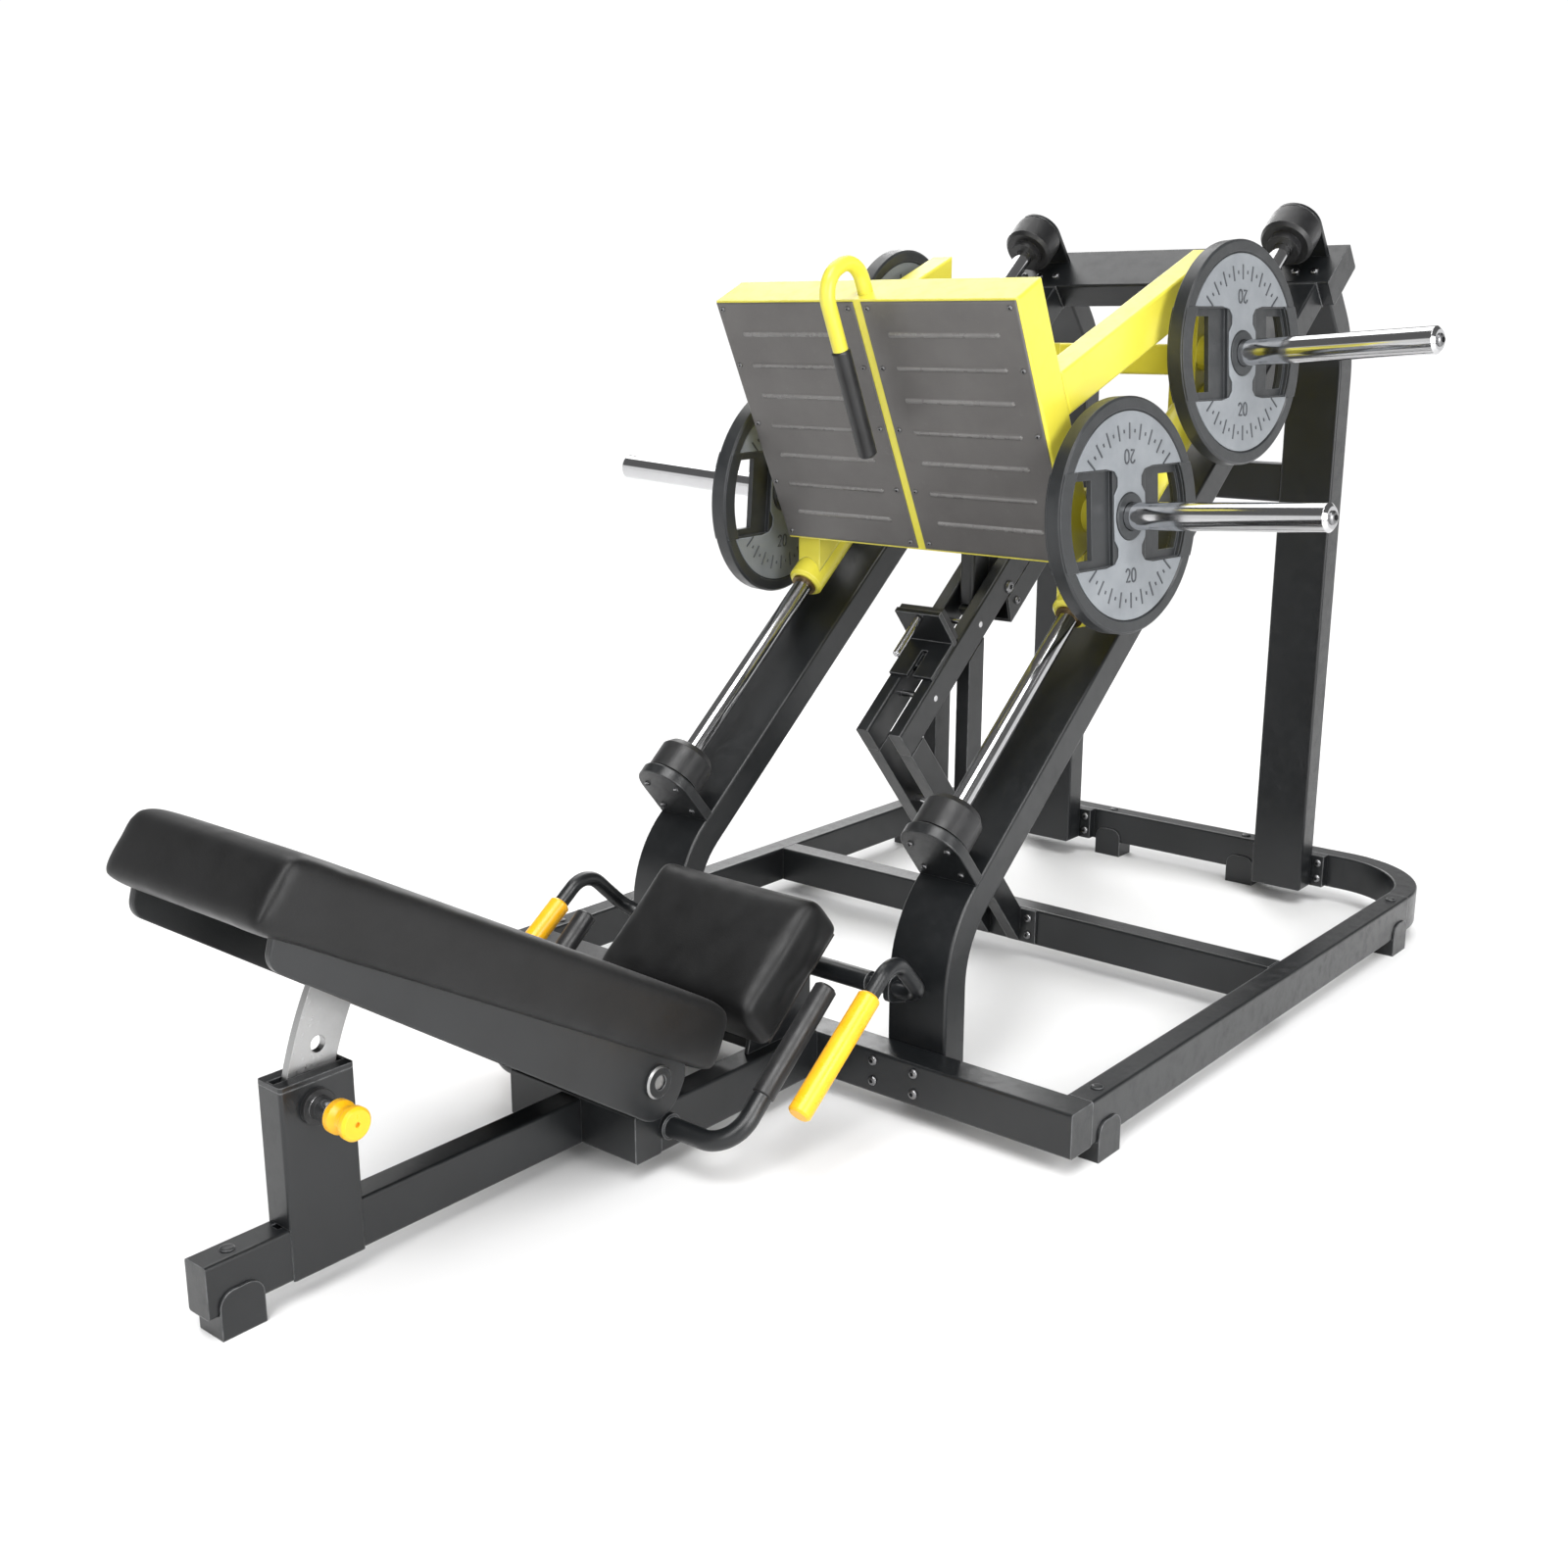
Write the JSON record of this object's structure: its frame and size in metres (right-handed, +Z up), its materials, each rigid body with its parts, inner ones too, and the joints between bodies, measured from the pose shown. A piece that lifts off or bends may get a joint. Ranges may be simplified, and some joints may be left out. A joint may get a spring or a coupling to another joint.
{
  "type": "leg press machine",
  "caption": "Plate-loaded incline leg press: a footplate sled on two guide rods, fixed seat, adjustable backrest, plate horns, stop block and release handles.",
  "frame": {"origin": "on the floor, at the middle of the machine's footprint", "axes": "+Z up, +Y from the head of the backrest to the back of the frame, X across the machine"},
  "size_m": [1.6394, 2.8328, 1.5884],
  "materials": {
    "charcoal_paint": "satin powder coat",
    "yellow_paint": "satin powder coat",
    "skin_grey": "satin embossed sheet",
    "chrome": "polished",
    "steel": "brushed",
    "vinyl": "fine grained upholstery vinyl",
    "rubber": "matte",
    "grip_yellow": "satin grip",
    "plate_rubber": "rubber coated, semi matte",
    "board": "painted plywood",
    "bronze": "plain bearing"
  },
  "bodies": {
    "frame": {"front_rail": "charcoal_paint", "side_rails": "charcoal_paint", "middle_rail": "charcoal_paint", "rear_rail": "charcoal_paint", "spine_rail": "charcoal_paint", "seat_beams": "charcoal_paint", "seat_brackets": "charcoal_paint", "seat_pillar": "charcoal_paint", "pillar_cap": "charcoal_paint", "curved_uprights": "charcoal_paint", "rear_uprights": "charcoal_paint", "rear_brace": "charcoal_paint", "top_crossbar": "charcoal_paint", "mount_plates": "charcoal_paint", "rod_flanges": "charcoal_paint", "stop_rails": "charcoal_paint", "stop_legs": "charcoal_paint", "catch_channel": "charcoal_paint", "side_handles": "charcoal_paint", "guide_rods": "chrome", "pin_barrel": "chrome", "spacer_pins": "chrome", "frame_bolts": "chrome", "pivot_axle": "steel", "seat_cushion": "vinyl", "rubber_feet": "rubber", "rubber_bumpers": "rubber", "rod_caps": "rubber", "side_grips": "rubber", "seat_board": "board"},
    "sled": {"footplate_tray": "yellow_paint", "footplate_skins": "skin_grey", "sled_screws": "chrome", "sled_arms": "yellow_paint", "sled_legs": "yellow_paint", "sled_cross_members": "yellow_paint", "sled_stop_bar": "yellow_paint", "rod_housings": "yellow_paint", "rod_bushes": "bronze", "plate_horns": "chrome", "horn_bosses": "yellow_paint", "sled_handle": "yellow_paint", "sled_handle_grip": "rubber"},
    "plate_front_left": {"weight_plate_front_left": "plate_rubber"},
    "plate_front_right": {"weight_plate_front_right": "plate_rubber"},
    "plate_rear_left": {"weight_plate_rear_left": "plate_rubber"},
    "plate_rear_right": {"weight_plate_rear_right": "plate_rubber"},
    "backrest": {"backrest_sides": "charcoal_paint", "pivot_covers": "charcoal_paint", "backrest_board": "board", "backrest_cushion": "vinyl", "backrest_sector": "steel"},
    "pop_pin": {"pin_knob": "grip_yellow"},
    "lever": {"release_lever": "charcoal_paint", "lever_grips": "grip_yellow", "lever_sleeve": "charcoal_paint"},
    "catch": {"safety_catch": "charcoal_paint"},
    "stop_block": {"stop_bracket": "charcoal_paint", "stop_rubber": "rubber"},
    "stop_pin": {"stop_pin": "chrome"}
  },
  "joints": [
    {"name": "sled_travel", "type": "slide", "parent": "frame", "child": "sled", "axis": [0, 0.766, 0.6428], "range_m": [-0.124, 0.25]},
    {"name": "backrest_recline", "type": "hinge", "parent": "frame", "child": "backrest", "pos_m": [0, -0.6863, 0.1766], "axis": [-1, 0, 0], "range_deg": [-8.7, 8.7]},
    {"name": "pop_pin_pull", "type": "slide", "parent": "frame", "child": "pop_pin", "axis": [1, 0, 0], "range_m": [0, 0.012], "stiffness_N_per_m": 900, "springref_m": -0.01},
    {"name": "lever_pull", "type": "hinge", "parent": "frame", "child": "lever", "pos_m": [0, -0.2236, 0.227], "axis": [-1, 0, 0], "range_deg": [0, 18]},
    {"name": "catch_release", "type": "hinge", "parent": "frame", "child": "catch", "pos_m": [0, 0.47048, 0.82761], "axis": [1, 0, 0], "range_deg": [0, 20]},
    {"name": "stop_slide", "type": "slide", "parent": "frame", "child": "stop_block", "axis": [0, 0.766, 0.6428], "range_m": [-0.09, 0]},
    {"name": "stop_pin_pull", "type": "slide", "parent": "stop_block", "child": "stop_pin", "axis": [0, -0.766, -0.6428], "range_m": [0, 0.02], "stiffness_N_per_m": 900, "springref_m": -0.01},
    {"name": "plate_front_left_slide", "type": "slide", "parent": "sled", "child": "plate_front_left", "axis": [-0.9931, -0.093, 0.0708], "range_m": [0, 0.385]},
    {"name": "plate_front_right_slide", "type": "slide", "parent": "sled", "child": "plate_front_right", "axis": [0.9931, -0.093, 0.0708], "range_m": [0, 0.385]},
    {"name": "plate_rear_left_slide", "type": "slide", "parent": "sled", "child": "plate_rear_left", "axis": [-0.9931, -0.093, 0.0708], "range_m": [0, 0.385]},
    {"name": "plate_rear_right_slide", "type": "slide", "parent": "sled", "child": "plate_rear_right", "axis": [0.9931, -0.093, 0.0708], "range_m": [0, 0.385]}
  ],
  "couplings": [
    {"joint": "catch_release", "follows": "lever_pull", "ratio": 1}
  ]
}
